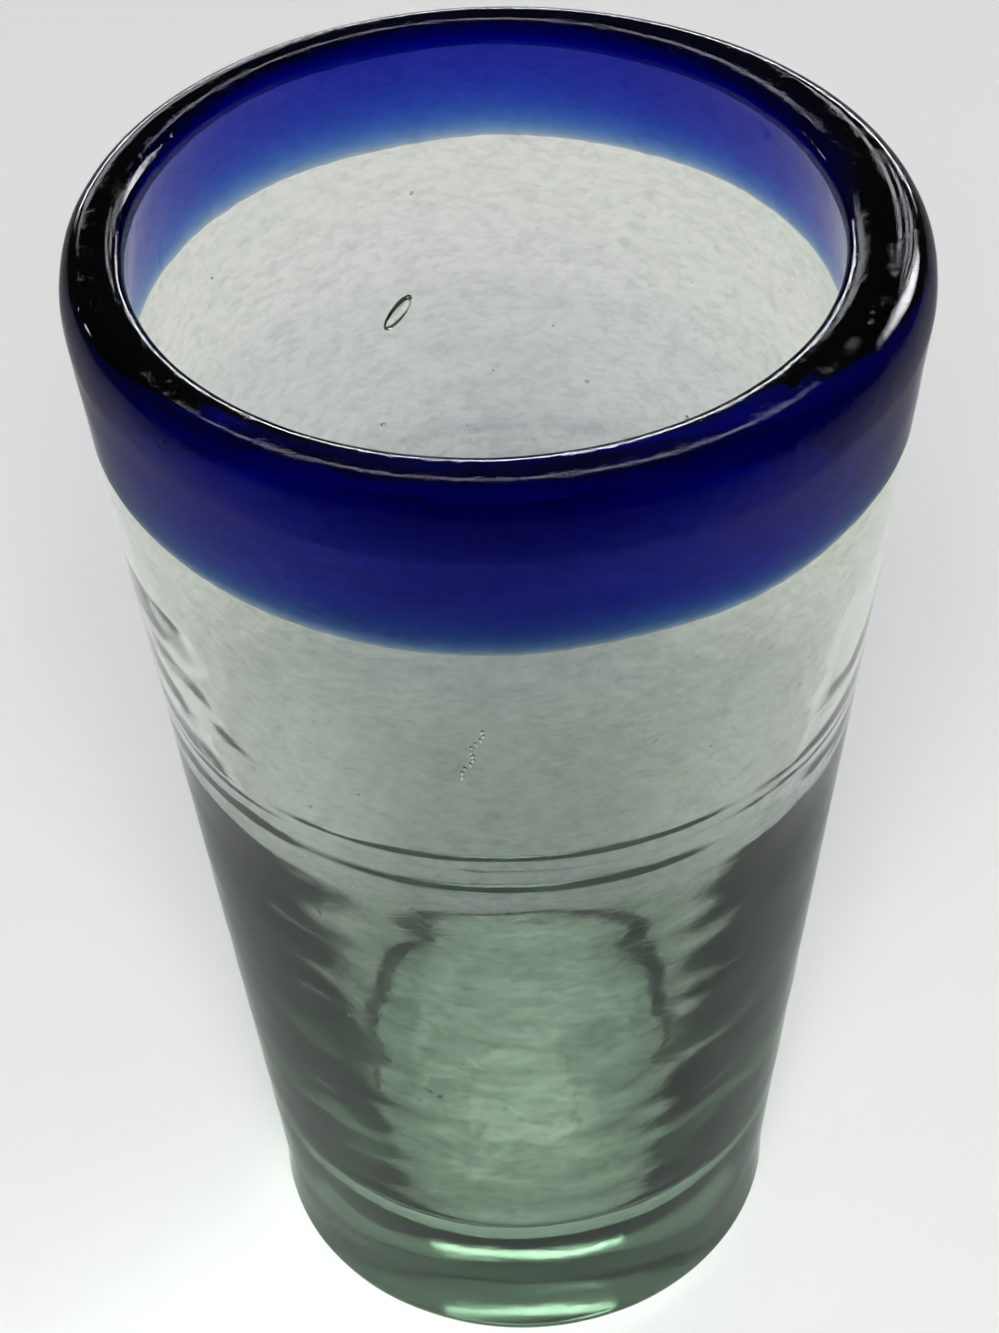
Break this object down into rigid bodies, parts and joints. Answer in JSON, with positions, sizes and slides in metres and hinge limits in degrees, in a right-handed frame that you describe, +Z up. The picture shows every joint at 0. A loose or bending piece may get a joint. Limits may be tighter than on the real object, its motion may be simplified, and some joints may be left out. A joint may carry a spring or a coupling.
{
  "type": "tumbler",
  "caption": "Hand-blown drinking tumbler of pale green recycled glass with a straight taper, a heavy foot and a thick cobalt-blue lip.",
  "frame": {"origin": "centre of the foot, on the table", "axes": "+Z up along the axis of the tumbler, +X and +Y alike because the tumbler is round"},
  "size_m": [0.092, 0.092, 0.15],
  "materials": {
    "clear_glass": "fire-polished clear recycled glass with fine chill wrinkles and seeds",
    "green_glass": "fire-polished green-tinted recycled glass",
    "cobalt_glass": "fire-polished deep cobalt glass that fades out downwards",
    "pontil_glass": "cracked and partly fire-polished glass, dull and uneven"
  },
  "bodies": {
    "root": {"blown_body": "clear_glass", "base_gather": "green_glass", "cobalt_rim": "cobalt_glass", "pontil_mark": "pontil_glass"}
  },
  "joints": []
}
